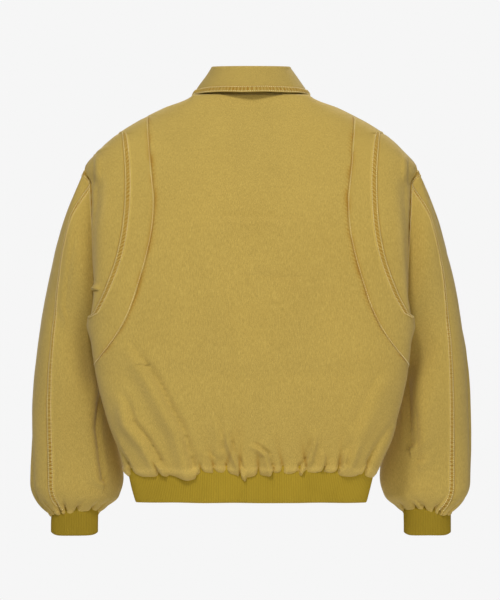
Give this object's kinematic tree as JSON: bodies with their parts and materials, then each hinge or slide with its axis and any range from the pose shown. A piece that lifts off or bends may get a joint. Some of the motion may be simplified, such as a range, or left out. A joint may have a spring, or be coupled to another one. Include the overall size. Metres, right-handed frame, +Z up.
{
  "type": "blouson jacket",
  "caption": "Hip-length mustard cotton blouson with a shirt collar, curved action-back seams, gathered hem over a rib band, rib cuffs and a front zip.",
  "frame": {"origin": "hanger seat: the middle of the neck opening at back-neck level, between the two side-neck points", "axes": "+Z up along the standing jacket; -Y the way the wearer faces; +X the wearer's left"},
  "size_m": [0.7388, 0.2532, 0.7889],
  "materials": {
    "cotton": "washed mustard-olive cotton twill",
    "rib_knit": "two-by-two rib knit, darker olive",
    "zip_tape": "woven herringbone tape",
    "loop_tape": "woven cotton tape",
    "antique_brass": "tumbled antique brass"
  },
  "bodies": {
    "jacket_body": {"back_centre_panel": "cotton", "back_gusset_left": "cotton", "back_gusset_right": "cotton", "back_shoulder_left": "cotton", "back_shoulder_right": "cotton", "front_panel_left": "cotton", "front_panel_right": "cotton", "front_facing_left": "cotton", "front_facing_right": "cotton", "neck_facing": "loop_tape", "hem_rib": "rib_knit", "collar_stand": "cotton", "collar_fall": "cotton", "zip_tape_left": "zip_tape", "zip_tape_right": "zip_tape", "zip_teeth_left": "antique_brass", "zip_teeth_right": "antique_brass", "zip_box": "antique_brass", "zip_pin": "antique_brass", "zip_top_stops": "antique_brass", "pocket_patch_left": "cotton", "pocket_patch_right": "cotton", "snap_stud_left": "antique_brass", "snap_stud_right": "antique_brass"},
    "zip_slider_body": {"zip_slider": "antique_brass"},
    "zip_pull_body": {"zip_pull": "antique_brass"},
    "sleeve_left": {"sleeve_outer_left": "cotton", "sleeve_under_left": "cotton", "cuff_rib_left": "rib_knit"},
    "sleeve_right": {"sleeve_outer_right": "cotton", "sleeve_under_right": "cotton", "cuff_rib_right": "rib_knit"},
    "flap_left": {"pocket_flap_left": "cotton", "snap_cap_left": "antique_brass"},
    "flap_right": {"pocket_flap_right": "cotton", "snap_cap_right": "antique_brass"},
    "loop": {"hanger_loop": "loop_tape"}
  },
  "joints": [
    {"name": "zip_slide", "type": "slide", "parent": "jacket_body", "child": "zip_slider_body", "axis": [0, 0, -1], "range_m": [0, 0.565]},
    {"name": "zip_pull_swing", "type": "hinge", "parent": "zip_slider_body", "child": "zip_pull_body", "pos_m": [0, -0.1004, -0.0825], "axis": [-1, 0, 0], "range_deg": [0, 160]},
    {"name": "sleeve_swing_left", "type": "hinge", "parent": "jacket_body", "child": "sleeve_left", "pos_m": [0.274, 0, -0.25275], "axis": [-0.9993, 0, 0.0384], "range_deg": [0, 25]},
    {"name": "sleeve_swing_right", "type": "hinge", "parent": "jacket_body", "child": "sleeve_right", "pos_m": [-0.274, 0, -0.25275], "axis": [-0.9993, 0, -0.0384], "range_deg": [0, 25]},
    {"name": "pocket_flap_left", "type": "hinge", "parent": "jacket_body", "child": "flap_left", "pos_m": [0.10725, -0.09037, -0.428], "axis": [-0.9728, -0.2318, 0], "range_deg": [0, 110]},
    {"name": "pocket_flap_right", "type": "hinge", "parent": "jacket_body", "child": "flap_right", "pos_m": [-0.10725, -0.09037, -0.428], "axis": [-0.9728, 0.2318, 0], "range_deg": [0, 110]},
    {"name": "hanger_loop_swing", "type": "hinge", "parent": "jacket_body", "child": "loop", "pos_m": [0, 0.0526, -0.007], "axis": [-1, 0, 0], "range_deg": [0, 150]}
  ]
}
